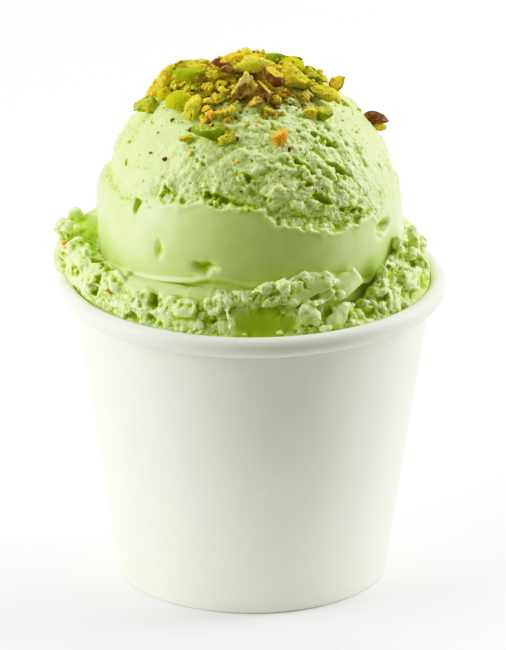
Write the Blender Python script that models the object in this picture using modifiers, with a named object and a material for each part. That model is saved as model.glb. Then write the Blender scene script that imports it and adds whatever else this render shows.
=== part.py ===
"""A 150 ml paper cup of pistachio gelato: a scoop pressed on a filled cup, under a heap of chopped nuts.

Metres, +Z up. The origin is the centre of the cup's foot, on the surface that the cup stands on. -Y is the front.
Azimuths are in degrees, 0 at the front, +90 at the right (+X), -90 at the left and 180 at the back.
"""

import math

import bmesh
import bpy
from mathutils import Vector, noise

# Paper cup
CUP_HEIGHT = 0.0606
FOOT_RADIUS = 0.0261
NECK_RADIUS = 0.03485  # the outside of the wall, if it ran on up to the middle of the rolled rim
PAPER = 0.0005
RIM_RADIUS = 0.0375
ROLL_WIDTH = 0.0031
ROLL_HEIGHT = 0.0038
ROLL_END = -152  # where the roll's underside meets the wall, in degrees round the roll
FOOT_EDGE = 0.0003
HEM_HEIGHT = 0.0060
HEM_THICKNESS = 0.0013
FLOOR_THICKNESS = 0.0006
CUP_STEPS = 64

# Gelato, in two scoops: the one that fills the cup, and the ball on it
GAP = 0.0003
BALL_X = -0.0004
BALL_RADIUS = 0.0294
BALL_CENTRE = 0.0722
SEAT_HEIGHT = 0.0619  # the bed's flat top, under the ball
CREST_HEIGHT = 0.0683  # the top of the collar, where it meets the ball
BED_STEPS = 60
BALL_STEPS = 72

# Heap of chopped nuts
HEAP_REACH = 37  # degrees from the ball's top to the heap's edge
HEAP_THICKNESS = 0.0032
HEAP_EDGE = 0.0014
HEAP_LUMP = 0.0018
HEAP_LUMP_SIZE = 0.0044
HEAP_STEPS = 48

ROLL_CENTRE = (RIM_RADIUS - ROLL_WIDTH / 2, CUP_HEIGHT - ROLL_HEIGHT / 2)


def wall_outside(z):
    """The radius of the cup's outer wall at a height."""
    return FOOT_RADIUS + (NECK_RADIUS - FOOT_RADIUS) * z / ROLL_CENTRE[1]


def wall_inside(z):
    return wall_outside(z) - PAPER


def ease(value, low, high):
    """0 up to low, 1 from high, and a smooth rise between them."""
    t = min(1.0, max(0.0, (value - low) / (high - low)))
    return t * t * (3 - 2 * t)


def hump(azimuth, middle, width):
    """1 at the middle azimuth, falling smoothly to 0 at width degrees to either side."""
    away = abs((azimuth - middle + 180) % 360 - 180)
    return 1 - ease(away, 0, width)


def azimuth_of(point):
    return math.degrees(math.atan2(point.x, -point.y))


def paint(obj, name, colour, roughness):
    material = bpy.data.materials.new(name)
    material.use_nodes = True
    shader = material.node_tree.nodes["Principled BSDF"]
    shader.inputs["Base Color"].default_value = (*colour, 1)
    shader.inputs["Roughness"].default_value = roughness
    shader.inputs["Metallic"].default_value = 0
    obj.data.materials.clear()
    obj.data.materials.append(material)


def add_object(name, mesh, collection):
    obj = bpy.data.objects.new(name, mesh)
    collection.objects.link(obj)
    return obj


def turned(name, profile, steps, collection, closed):
    """A profile of (radius, z) turned about Z. It runs down the outer side, from top to bottom."""
    mesh = bpy.data.meshes.new(name)
    edges = [(i, i + 1) for i in range(len(profile) - 1)]
    if closed:
        edges.append((len(profile) - 1, 0))
    mesh.from_pydata([(radius, 0, z) for radius, z in profile], edges, [])
    obj = add_object(name, mesh, collection)
    screw = obj.modifiers.new("Turn", "SCREW")
    screw.axis = "Z"
    screw.steps = screw.render_steps = steps
    screw.use_merge_vertices = True
    screw.merge_threshold = 0.00001
    return obj


def as_mesh(obj):
    """Applies the object's modifiers, and leaves every face turned outwards."""
    graph = bpy.context.evaluated_depsgraph_get()
    mesh = bpy.data.meshes.new_from_object(obj.evaluated_get(graph))
    obj.modifiers.clear()
    obj.data = mesh
    shape = bmesh.new()
    shape.from_mesh(mesh)
    bmesh.ops.remove_doubles(shape, verts=shape.verts, dist=0.00001)
    bmesh.ops.recalc_face_normals(shape, faces=shape.faces)
    shape.to_mesh(mesh)
    shape.free()


def sculpt(obj, move):
    """Moves each vertex to where move says."""
    for vertex in obj.data.vertices:
        vertex.co = move(vertex.co.copy())
    obj.data.update()


def roll_point(degrees):
    angle = math.radians(degrees)
    return (
        ROLL_CENTRE[0] + ROLL_WIDTH / 2 * math.cos(angle),
        ROLL_CENTRE[1] + ROLL_HEIGHT / 2 * math.sin(angle),
    )


def make_cup_wall(collection):
    """The side blank: a cone with its top rolled outwards and its foot folded in as a hem."""
    roll_steps = 13
    roll = [roll_point(180 + (ROLL_END - 180) * i / roll_steps) for i in range(roll_steps + 1)]
    foot = [
        (wall_outside(FOOT_EDGE), FOOT_EDGE),
        (FOOT_RADIUS - FOOT_EDGE, 0),
        (FOOT_RADIUS - HEM_THICKNESS + FOOT_EDGE, 0),
        (FOOT_RADIUS - HEM_THICKNESS, FOOT_EDGE),
        (wall_outside(HEM_HEIGHT) - HEM_THICKNESS, HEM_HEIGHT),
        (wall_inside(HEM_HEIGHT), HEM_HEIGHT),
    ]
    wall = turned("cup_wall", roll + foot, CUP_STEPS, collection, closed=True)
    as_mesh(wall)
    paint(wall, "cup_paper", (0.86, 0.87, 0.83), 0.55)


def make_cup_floor(collection):
    """The round blank that the hem holds."""
    bottom = HEM_HEIGHT + GAP
    bpy.ops.mesh.primitive_cylinder_add(
        vertices=CUP_STEPS,
        radius=wall_inside(bottom) - GAP,
        depth=FLOOR_THICKNESS,
        location=(0, 0, bottom + FLOOR_THICKNESS / 2),
    )
    floor = bpy.context.object
    floor.name = "cup_floor"
    for owner in list(floor.users_collection):
        owner.objects.unlink(floor)
    collection.objects.link(floor)
    paint(floor, "cup_floor_paper", (0.84, 0.85, 0.81), 0.6)


def collar_rise(azimuth):
    """How much higher than its blank the collar stands: a high wing at the left, a lower one at the right."""
    wings = 0.0052 * hump(azimuth, -88, 44) + 0.0022 * hump(azimuth, 104, 46)
    return wings + 0.0014 * hump(azimuth, 172, 60) - 0.0006 * hump(azimuth, 12, 40)


def collar_overhang(azimuth):
    """How far past its blank the collar leans out over the rim."""
    return 0.0040 * hump(azimuth, -86, 46) + 0.0012 * hump(azimuth, 150, 40)


def squeeze_collar(point):
    """Raises, leans out and roughens what stands above the rim, and leaves the ball's seat as it is."""
    clear = CUP_HEIGHT + 2 * GAP
    radius = math.hypot(point.x, point.y)
    if point.z <= clear or radius < BALL_RADIUS + 2 * GAP:
        return point
    azimuth = azimuth_of(point)
    upward = ease(point.z, clear, 0.0672)
    outer = ease(radius, BALL_RADIUS + 3 * GAP, 0.0322)
    lean = collar_overhang(azimuth) * ease(radius, 0.0318, 0.0340) * (1 - 0.75 * ease(point.z, 0.0640, 0.0680))
    lump = noise.noise(point * 260) * 0.0015 * outer * ease(point.z, clear, 0.0640)
    way = Vector((point.x, point.y, 0)).normalized()
    return point + way * (lean + lump) + Vector((0, 0, collar_rise(azimuth) * upward + lump))


def beside_ball(latitude, clearance):
    """A profile point at a latitude of the ball in degrees, and that far off it."""
    turn = math.radians(latitude)
    return (
        (BALL_RADIUS + clearance) * math.cos(turn),
        BALL_CENTRE + (BALL_RADIUS + clearance) * math.sin(turn),
    )


def make_gelato_bed(collection):
    """The gelato that fills the cup, with the ragged collar that the ball squeezed up round itself."""
    socket = [beside_ball(latitude, 3 * GAP) for latitude in (-19, -16, -13, -10)]
    crest = [
        (BALL_RADIUS + 3 * GAP, CREST_HEIGHT - 0.0004),
        (0.0309, CREST_HEIGHT),
        (0.0318, CREST_HEIGHT - 0.0002),
        (0.0327, 0.0676),
        (0.0334, 0.0664),
        (0.0339, 0.0645),
        (0.0341, 0.0625),
    ]
    neck = [(0.0338, CUP_HEIGHT + GAP), (ROLL_CENTRE[0] - ROLL_WIDTH / 2 - GAP, ROLL_CENTRE[1])]
    bottom = HEM_HEIGHT + GAP + FLOOR_THICKNESS + GAP
    packed = [(wall_inside(z) - GAP, z) for z in (0.050, 0.030, bottom)]
    profile = [(0, SEAT_HEIGHT), (socket[0][0] - GAP, SEAT_HEIGHT)] + socket + crest + neck + packed + [(0, bottom)]
    bed = turned("gelato_bed", profile, BED_STEPS, collection, closed=False)
    as_mesh(bed)
    sculpt(bed, squeeze_collar)
    paint(bed, "gelato_bed_mint", (0.47, 0.62, 0.22), 0.5)


# The upper edge of the smooth band that the scoop pressed: azimuth and latitude in degrees.
BAND_EDGE = [(-180, 20), (-90, 15), (-57, 16), (-20, 23), (1, 23), (16, 15), (32, 12), (74, 11), (130, 21), (180, 20)]

# The deepest tears that the scoop's drag left: azimuth and latitude of the middle in degrees,
# length and half width in metres, how steeply the right end drops in degrees, and depth in metres.
TEARS = [
    (-11, 26, 0.0130, 0.0019, 10, 0.0019),
    (-36, 26, 0.0060, 0.0019, 36, 0.0014),
    (-1, 35, 0.0060, 0.0018, 14, 0.0014),
    (26, 37, 0.0070, 0.0020, 46, 0.0016),
    (43, 45, 0.0080, 0.0020, 46, 0.0018),
    (43, 32, 0.0080, 0.0020, 42, 0.0019),
    (31, 24, 0.0060, 0.0019, 34, 0.0016),
    (45, 17, 0.0070, 0.0019, 22, 0.0018),
    (58, 36, 0.0070, 0.0018, 86, 0.0012),
    (148, 44, 0.0150, 0.0021, 18, 0.0019),
    (176, 32, 0.0120, 0.0021, 8, 0.0018),
    (-146, 43, 0.0120, 0.0020, 30, 0.0018),
    (-98, 36, 0.0100, 0.0019, 12, 0.0015),
    (96, 38, 0.0110, 0.0020, 20, 0.0017),
]


def band_top(azimuth):
    """The latitude of the band's upper edge, read between the places in its table."""
    for (start, low), (end, high) in zip(BAND_EDGE, BAND_EDGE[1:]):
        if start <= azimuth <= end:
            return low + (high - low) * (azimuth - start) / (end - start)
    return BAND_EDGE[0][1]


def tear_depth(point):
    """How deep the tears are at a point of the ball."""
    from_centre = point - Vector((0, 0, BALL_CENTRE))
    azimuth = azimuth_of(point)
    latitude = math.degrees(math.asin(max(-1, min(1, from_centre.z / from_centre.length))))
    deepest = 0
    for middle, height, length, width, drop, depth in TEARS:
        along = math.radians((azimuth - middle + 180) % 360 - 180) * BALL_RADIUS * math.cos(math.radians(height))
        across = math.radians(latitude - height) * BALL_RADIUS + math.tan(math.radians(drop)) * along
        inside = (1 - ease(abs(along), 0, length / 2)) * (1 - ease(abs(across), 0, width))
        deepest = max(deepest, depth * inside)
    return deepest


def tear_ball(point):
    """Roughens the torn upper part of the ball and cuts its tears. The pressed band under it stays smooth."""
    from_centre = point - Vector((0, 0, BALL_CENTRE))
    latitude = math.degrees(math.asin(max(-1, min(1, from_centre.z / from_centre.length))))
    edge = band_top(azimuth_of(point))
    bare = 1 - ease(latitude, 60, 72)
    torn = ease(latitude, edge, edge + 4) * bare
    inwards = tear_depth(point) * bare + torn * (0.0004 + 0.0006 * abs(noise.noise(point * 210)))
    return point - from_centre.normalized() * inwards


def make_gelato_scoop(collection):
    """The ball: a torn dome over a smooth band, seated in the bed."""
    latitudes = (90, 82, 74, 66, 60, 56, 52, 48, 44, 40, 36, 32, 28, 25, 22, 19, 16, 13, 10, 2, -6, -12, -17)
    outside = [beside_ball(latitude, 0) for latitude in latitudes]
    seat = [(0.0272, SEAT_HEIGHT + GAP), (0, SEAT_HEIGHT + GAP)]
    scoop = turned("gelato_scoop", outside + seat, BALL_STEPS, collection, closed=False)
    as_mesh(scoop)
    sculpt(scoop, tear_ball)
    scoop.location.x = BALL_X
    paint(scoop, "gelato_scoop_mint", (0.56, 0.70, 0.33), 0.45)


def heap_stretch(azimuth):
    """How far the heap reaches down the ball, as a share of HEAP_REACH."""
    sides = 0.22 * hump(azimuth, -102, 66) + 0.04 * hump(azimuth, 88, 60)
    return 1 + sides + 0.10 * hump(azimuth, 176, 60) - 0.14 * hump(azimuth, 22, 60)


def lump_heap(point):
    """Stretches the heap down the ball's sides and makes its top as uneven as the nuts."""
    from_centre = point - Vector((0, 0, BALL_CENTRE))
    distance = from_centre.length
    azimuth = azimuth_of(point)
    polar = math.acos(max(-1, min(1, from_centre.z / distance))) * heap_stretch(azimuth)
    turn = math.radians(azimuth)
    way = Vector((math.sin(polar) * math.sin(turn), -math.sin(polar) * math.cos(turn), math.cos(polar)))
    on_ball = way * BALL_RADIUS
    lumps = noise.noise(on_ball / HEAP_LUMP_SIZE) + 0.5 * noise.noise(on_ball / HEAP_LUMP_SIZE * 2.1)
    if distance > BALL_RADIUS + 2 * GAP:
        distance += HEAP_LUMP * lumps
    return Vector((0, 0, BALL_CENTRE)) + way * distance


def make_pistachio_heap(collection):
    """The chopped nuts, as one solid out to the heap's uneven outline, lying on top of the ball."""
    rings = 9
    top = [
        (HEAP_REACH * i / rings, HEAP_EDGE + (HEAP_THICKNESS - HEAP_EDGE) * math.sqrt(1 - (i / rings) ** 2))
        for i in range(rings + 1)
    ]
    under = [(HEAP_REACH * (1 - i / 4), GAP) for i in range(5)]
    profile = [beside_ball(90 - polar, height) for polar, height in top + under]
    heap = turned("pistachio_heap", profile, HEAP_STEPS, collection, closed=False)
    as_mesh(heap)
    sculpt(heap, lump_heap)
    heap.location.x = BALL_X
    paint(heap, "pistachio", (0.52, 0.50, 0.08), 0.7)


def main():
    for obj in list(bpy.data.objects):
        bpy.data.objects.remove(obj)
    gelato_cup = bpy.data.collections.new("gelato_cup")
    bpy.context.scene.collection.children.link(gelato_cup)
    make_cup_wall(gelato_cup)
    make_cup_floor(gelato_cup)
    make_gelato_bed(gelato_cup)
    make_gelato_scoop(gelato_cup)
    make_pistachio_heap(gelato_cup)


main()
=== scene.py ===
"""Looks of a paper cup of pistachio gelato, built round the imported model.

Lengths are in metres. Azimuths are in degrees, 0 at the front (-Y), +90 at the right (+X), -90 at the left.
Latitudes on the ball are in degrees above its widest circle.
"""

import itertools
import math
import random
from contextlib import contextmanager

import bpy
import numpy as np
from mathutils import Matrix, Vector
from mathutils.bvhtree import BVHTree


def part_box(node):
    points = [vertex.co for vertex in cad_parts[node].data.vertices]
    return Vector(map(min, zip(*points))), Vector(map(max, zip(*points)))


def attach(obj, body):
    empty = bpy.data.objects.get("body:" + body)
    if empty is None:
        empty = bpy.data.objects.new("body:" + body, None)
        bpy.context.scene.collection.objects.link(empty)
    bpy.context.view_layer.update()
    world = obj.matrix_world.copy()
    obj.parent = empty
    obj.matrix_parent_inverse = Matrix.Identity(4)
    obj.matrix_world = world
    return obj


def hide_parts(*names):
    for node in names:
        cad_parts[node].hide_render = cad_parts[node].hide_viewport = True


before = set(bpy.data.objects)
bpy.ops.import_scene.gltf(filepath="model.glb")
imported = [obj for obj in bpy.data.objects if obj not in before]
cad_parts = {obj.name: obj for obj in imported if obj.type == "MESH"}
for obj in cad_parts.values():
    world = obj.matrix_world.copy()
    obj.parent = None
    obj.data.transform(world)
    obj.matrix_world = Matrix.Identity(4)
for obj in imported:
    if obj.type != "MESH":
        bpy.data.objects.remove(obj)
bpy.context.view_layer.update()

MM = 0.001
SCOOP_LOW, SCOOP_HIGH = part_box("gelato_scoop")
CUP_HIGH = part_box("cup_wall")[1]

# The ball
BALL_RADIUS = (SCOOP_HIGH.x - SCOOP_LOW.x) / 2
BALL = np.array(((SCOOP_HIGH.x + SCOOP_LOW.x) / 2, 0, SCOOP_HIGH.z - BALL_RADIUS))

# The paper cup
RIM_RADIUS = CUP_HIGH.x
CUP_HEIGHT = CUP_HIGH.z
FOOT_RADIUS = 26.1 * MM
NECK_RADIUS = 34.85 * MM
PAPER = 0.5 * MM
ROLL_WIDTH = 3.1 * MM
ROLL_HEIGHT = 4.0 * MM
HEM_HEIGHT = 6.0 * MM
HEM_THICKNESS = 1.3 * MM
ROLL_CENTRE = (RIM_RADIUS - ROLL_WIDTH / 2, CUP_HEIGHT - ROLL_HEIGHT / 2)

# The most triangles of a whole piece, and of one shape that is copied
BALL_TRIANGLES, COLLAR_TRIANGLES = 195000, 190000
LUMP_TRIANGLES, NUT_TRIANGLES, CRUMB_TRIANGLES = 600, 900, 90
# How fine the skins are: the ball's, the collar's before and after its lumps, and a nut's of 2 across
BALL_VOXEL, LUMPS_VOXEL, COLLAR_VOXEL, NUT_VOXEL = 0.25 * MM, 0.27 * MM, 0.21 * MM, 0.055
# A loose part with fewer vertices than this is a stray
FEWEST_VERTICES = 50

# Shapes that are copied: lumps of gelato, and nuts, of which the first few show the kernel's round side
LUMP_SHAPES, NUT_SHAPES, ROUND_SHAPES = 14, 14, 4
# How many are scattered by chance
SIDE_TEARS, BAND_CRUMBS, COLLAR_GRAINS = 34, 260, 110
BACK_CHUNKS, LOW_CHUNKS, HEAP_CRUMBS, FAR_CRUMBS = 46, 44, 1000, 160


# Small tools


def select_only(obj):
    if bpy.context.mode != "OBJECT":
        bpy.ops.object.mode_set(mode="OBJECT")
    bpy.ops.object.select_all(action="DESELECT")
    obj.select_set(True)
    bpy.context.view_layer.objects.active = obj


@contextmanager
def editing(obj):
    """Edit mode, with all of the object's mesh selected."""
    select_only(obj)
    bpy.ops.object.mode_set(mode="EDIT")
    bpy.ops.mesh.select_all(action="SELECT")
    yield
    bpy.ops.object.mode_set(mode="OBJECT")


def new_piece(name, add_primitive, **settings):
    """Adds a primitive, names it and puts its place into its mesh."""
    bpy.ops.object.select_all(action="DESELECT")
    add_primitive(**settings)
    obj = bpy.context.object
    obj.name = obj.data.name = name
    select_only(obj)
    bpy.ops.object.transform_apply(location=True, rotation=True, scale=True)
    return obj


def apply_modifier(obj, kind, **settings):
    select_only(obj)
    modifier = obj.modifiers.new(kind.title(), kind)
    for setting, value in settings.items():
        setattr(modifier, setting, value)
    bpy.ops.object.modifier_apply(modifier=modifier.name)


def join(name, pieces):
    """Joins the pieces into the first, which takes the name."""
    select_only(pieces[0])
    for piece in pieces[1:]:
        piece.select_set(True)
    bpy.ops.object.join()
    joined = bpy.context.object
    joined.name = joined.data.name = name
    return joined


def points_of(obj):
    flat = np.empty(len(obj.data.vertices) * 3)
    obj.data.vertices.foreach_get("co", flat)
    return flat.reshape(-1, 3)


def normals_of(obj):
    flat = np.empty(len(obj.data.vertices) * 3)
    obj.data.vertex_normals.foreach_get("vector", flat)
    return flat.reshape(-1, 3)


def move_points(obj, points):
    obj.data.vertices.foreach_set("co", np.ascontiguousarray(points, dtype=float).ravel())
    obj.data.update()


def push_out(obj, millimetres):
    """Moves each vertex along its normal."""
    move_points(obj, points_of(obj) + normals_of(obj) * (millimetres * MM)[:, None])


def set_mask(obj, name, values):
    """Stores one number for each vertex, for the materials to read."""
    mask = obj.data.attributes.get(name) or obj.data.attributes.new(name, "FLOAT", "POINT")
    mask.data.foreach_set("value", np.ascontiguousarray(values, dtype=np.float32))


def read_mask(obj, name):
    values = np.zeros(len(obj.data.vertices), np.float32)
    obj.data.attributes[name].data.foreach_get("value", values)
    return values


def thin_to(obj, triangles):
    """Collapses edges until the mesh has no more than that many triangles."""
    now = sum(len(face.vertices) - 2 for face in obj.data.polygons)
    if now > triangles:
        apply_modifier(obj, "DECIMATE", ratio=triangles / now)


def drop_strays(obj):
    """Deletes the small specks that aren't joined to the piece."""
    name = obj.name
    with editing(obj):
        bpy.ops.mesh.separate(type="LOOSE")
    parts = sorted(bpy.context.selected_objects, key=lambda part: -len(part.data.vertices))
    kept = [part for part in parts if len(part.data.vertices) >= FEWEST_VERTICES]
    for part in parts[len(kept):]:
        bpy.data.objects.remove(part)
    return join(name, kept)


def smooth_shade(obj):
    select_only(obj)
    bpy.ops.object.shade_smooth()


def ease(value, low, high):
    """0 up to low, 1 from high, and a smooth rise between them."""
    share = np.clip((value - low) / (high - low), 0, 1)
    return share * share * (3 - 2 * share)


def around(azimuth, table):
    """Reads a table of (azimuth, value) at each azimuth, all the way round."""
    places, values = zip(*sorted(table))
    return np.interp(azimuth, places, values, period=360)


LATTICE = 32
lattice_draws = np.random.default_rng(12)
SLOPES = lattice_draws.normal(size=(LATTICE, LATTICE, LATTICE, 3))
SLOPES /= np.linalg.norm(SLOPES, axis=3, keepdims=True)
CENTRES = lattice_draws.uniform(size=(LATTICE, LATTICE, LATTICE, 4))


def swell(points, size, seed, octaves=1):
    """Smooth noise of about -1 to 1 whose lumps are about as large as size."""
    total = np.zeros(len(points))
    for octave in range(octaves):
        place = points * 2**octave / size + np.array((17.3, 7.1, 3.7)) * (seed + 5 * octave)
        corner = np.floor(place).astype(int)
        part = place - corner
        share = part**3 * (part * (part * 6 - 15) + 10)
        for step in itertools.product((0, 1), repeat=3):
            x, y, z = ((corner + step) % LATTICE).T
            weight = np.prod(np.where(step, share, 1 - share), axis=1)
            total += weight * np.einsum("ij,ij->i", SLOPES[x, y, z], part - step) * 1.6 / 2**octave
    return total


def cells(points, size, seed):
    """Cells round scattered centres: distances to the centre and to the border, and the cell's own number."""
    place = points / size + np.array((5.3, 11.9, 2.3)) * seed
    corner = np.floor(place).astype(int)
    nearest, second, number = np.full((3, len(points)), 9.0)
    for step in itertools.product((-1, 0, 1), repeat=3):
        x, y, z = ((corner + step) % LATTICE).T
        draw = CENTRES[x, y, z]
        away = np.linalg.norm(corner + step + draw[:, :3] - place, axis=1)
        closer = away < nearest
        second = np.where(closer, nearest, np.minimum(second, away))
        number = np.where(closer, draw[:, 3], number)
        nearest = np.where(closer, away, nearest)
    return nearest, (second - nearest) / 2, number


def bend(points, size, seed, share, far):
    """Moves the points unevenly, by about that share of far, so that what follows them isn't too regular."""
    return points + np.stack([swell(points, size, seed + i, 2) for i in range(3)], axis=1) * share * far


def crumble(points, size, seed):
    """Broken crumbs of about that size: each has its own height, with cracks between. About -1 to 0.5."""
    _, border, number = cells(bend(points, size, seed, 0.25, size), size, seed)
    return number - 0.5 - 0.5 * (1 - ease(border, 0, 0.13))


def hollows(obj, rounds):
    """How far each vertex lies below the smoothed surface, in mm: above 0 in a dent, below 0 on a ridge."""
    select_only(obj)
    bpy.ops.object.duplicate()
    smoothed = bpy.context.object
    apply_modifier(smoothed, "SMOOTH", factor=0.8, iterations=rounds)
    depth = np.einsum("ij,ij->i", points_of(smoothed) - points_of(obj), normals_of(obj))
    bpy.data.objects.remove(smoothed)
    return depth / MM


def on_ball(azimuth, latitude, radius=BALL_RADIUS):
    """The point of the ball at an azimuth and a latitude."""
    turn, rise = np.radians(azimuth), np.radians(latitude)
    way = np.stack((np.cos(rise) * np.sin(turn), -np.cos(rise) * np.cos(turn), np.sin(rise) + 0 * turn), -1)
    return BALL + way * np.expand_dims(np.asarray(radius + 0 * turn), -1)


def ball_places(points):
    """Azimuth, latitude and distance from the ball's centre."""
    offset = points - BALL
    distance = np.maximum(np.linalg.norm(offset, axis=1), 1e-9)
    azimuth = np.degrees(np.arctan2(offset[:, 0], -offset[:, 1]))
    return azimuth, np.degrees(np.arcsin(np.clip(offset[:, 2] / distance, -1, 1))), distance


def broken_lump(name, cuts, rng):
    """A ball of radius 1 with flat faces broken off. Returns it with the faces as (direction, distance)."""
    lump = new_piece(name, bpy.ops.mesh.primitive_ico_sphere_add, subdivisions=4, radius=1)
    faces = []
    with editing(lump):
        for cut in range(cuts):
            fall = 2.5 if cut == 0 else 0.3
            spread = Vector((rng.gauss(0, 1), rng.gauss(0, 1), rng.gauss(0, 1) - fall))
            way, away = spread.normalized(), rng.uniform(0.25, 0.62)
            bpy.ops.mesh.select_all(action="SELECT")
            bpy.ops.mesh.bisect(plane_co=way * away, plane_no=way, use_fill=True, clear_outer=True)
            faces.append((np.array(way), away))
    return lump, faces


def scatter_copies(name, shapes, spots):
    """Copies of the shapes at the spots, as one mesh. A spot is (shape, matrix, {mask: value})."""
    vertices, faces, masks, stock = [], [], {}, []
    for shape in shapes:
        names = [mask.name for mask in shape.data.attributes if mask.data_type == "FLOAT"]
        loops = [tuple(face.vertices) for face in shape.data.polygons]
        stock.append((points_of(shape), loops, {key: read_mask(shape, key) for key in names}))
    for index, matrix, values in spots:
        points, loops, own = stock[index % len(stock)]
        base = len(vertices)
        vertices.extend((points @ np.array(matrix.to_3x3()).T + np.array(matrix.translation)).tolist())
        faces.extend(tuple(i + base for i in loop) for loop in loops)
        for key, value in {**own, **values}.items():
            masks.setdefault(key, []).append(value + np.zeros(len(points), np.float32))
    mesh = bpy.data.meshes.new(name)
    mesh.from_pydata(vertices, [], faces)
    obj = bpy.data.objects.new(name, mesh)
    bpy.context.scene.collection.objects.link(obj)
    for key, values in masks.items():
        set_mask(obj, key, np.concatenate(values))
    return obj


def placed(place, along, up, sizes):
    """A matrix that puts a unit shape at a place, its length along one way, its thickness near another."""
    along = Vector(along).normalized()
    side = Vector(up).cross(along).normalized()
    turn = Matrix((along, side, along.cross(side))).transposed().to_4x4()
    return Matrix.Translation(Vector(place)) @ turn @ Matrix.Diagonal((*sizes, 1))


def random_way(rng):
    return Vector((rng.gauss(0, 1), rng.gauss(0, 1), rng.gauss(0, 1))).normalized()


# The paper cup


def wall_radius(height):
    return FOOT_RADIUS + (NECK_RADIUS - FOOT_RADIUS) * height / ROLL_CENTRE[1]


def cup_section():
    """The wall's outline as (radius, height): up inside, over the roll, down outside, round the hem."""
    section = [(wall_radius(z) - PAPER, z) for z in np.linspace(HEM_HEIGHT + PAPER, 56 * MM, 12)]
    for degrees in np.linspace(178, -146, 34):
        turn = math.radians(degrees)
        rise = ROLL_HEIGHT / 2 * math.sin(turn) * (1 - 0.06 * math.cos(turn))
        section.append((ROLL_CENTRE[0] + ROLL_WIDTH / 2 * math.cos(turn), ROLL_CENTRE[1] + rise))
    tuck = section[-1][1] - 0.15 * MM
    section += [(wall_radius(z), z) for z in np.linspace(tuck, 0.8 * MM, 30)]
    for degrees in (20, 45, 70):
        turn = math.radians(degrees)
        section.append((FOOT_RADIUS - (1 - math.cos(turn)) * 0.5 * MM, (1 - math.sin(turn)) * 0.5 * MM))
    inner, top = FOOT_RADIUS - HEM_THICKNESS, wall_radius(HEM_HEIGHT) - HEM_THICKNESS
    section += [(FOOT_RADIUS - 0.5 * MM, 0), (inner + 0.4 * MM, 0), (inner, 0.3 * MM)]
    return section + [(top, HEM_HEIGHT - 0.2 * MM), (top + 0.3 * MM, HEM_HEIGHT)]


def spin_section(name, section, steps):
    """A ring of vertices is moved to the section's outline and spun round the cup's axis."""
    obj = new_piece(name, bpy.ops.mesh.primitive_circle_add, vertices=len(section), radius=RIM_RADIUS)
    move_points(obj, [(radius, 0, height) for radius, height in section])
    with editing(obj):
        bpy.ops.mesh.spin(steps=steps, angle=2 * math.pi, center=(0, 0, 0), axis=(0, 0, 1))
        bpy.ops.mesh.select_all(action="SELECT")
        bpy.ops.mesh.remove_doubles(threshold=0.01 * MM)
        bpy.ops.mesh.normals_make_consistent(inside=False)
    return obj


def make_cup():
    """The spun cup, with the seam's overlap at the back and a slight unevenness of the paper."""
    cup = spin_section("paper_cup", cup_section(), 288)
    points = points_of(cup)
    radius, wall = np.hypot(points[:, 0], points[:, 1]), wall_radius(points[:, 2])
    azimuth = np.degrees(np.arctan2(points[:, 0], -points[:, 1])) % 360
    outside = ease(radius, wall - 0.3 * MM, wall - 0.1 * MM)
    seam = (azimuth > 176) * (1 - ease(azimuth, 178, 206)) * outside
    wave = swell(points * (1, 1, 0.4), 16 * MM, 3) * outside
    grown = radius + 0.4 * MM * seam + 0.06 * MM * wave
    points[:, :2] *= (grown / radius)[:, None]
    move_points(cup, points)
    smooth_shade(cup)
    return cup


# The ball

# The upper edge of the smooth band: azimuth, latitude
BAND_EDGE = [
    (-165, 20), (-120, 15), (-92, 17), (-80, 18.5), (-66, 16.5), (-57, 16.4), (-38, 20.9), (-20, 23.4),
    (-9, 23.2), (1, 22.8), (8, 19), (16, 14.8), (32, 11.5), (52, 11.8), (74, 11.2), (100, 14), (130, 21),
    (160, 23),
]
# How far the torn top lies behind the band, just above it: azimuth, mm
LEDGE = [
    (-150, 0.9), (-100, 1.1), (-84, 0.9), (-66, 0.3), (-45, 0.25), (-38, 0.5), (-25, 0.8), (-10, 1.1),
    (0, 1.4), (20, 1.7), (38, 1.5), (50, 0.8), (60, 0.3), (80, 0.2), (120, 1), (160, 0.7),
]
# How roughly the top is torn: azimuth, share
TORN = [
    (-150, 1), (-105, 0.5), (-75, 0.12), (-45, 0.2), (-28, 0.5), (-12, 0.7), (0, 0.95), (45, 1), (58, 0.5),
    (75, 0.2), (100, 0.4), (140, 1),
]
# The thin lip that the scoop's edge rolled under the band: azimuth, latitude
LIP_EDGE = [
    (-110, -12), (-75, -11.6), (-62, -10.9), (-35, -8.3), (-22, -6.3), (-16, -4.4), (-9, -4.6), (0, -6.6),
    (19, -6.6), (26, -5.3), (32, -6.7), (39, -9), (51, -13.2), (57, -11), (67, -8.2), (73, -4), (85, -4),
    (140, -10), (180, -8),
]
# How far the lip stands out: azimuth, mm
LIP_WIDTH = [
    (-120, 0.2), (-75, 0.4), (-62, 0.65), (-20, 0.65), (-8, 0.4), (20, 0.6), (28, 0.9), (48, 0.9),
    (56, 0.4), (70, 0.8), (90, 0.4), (150, 0.7), (180, 0.4),
]
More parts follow.
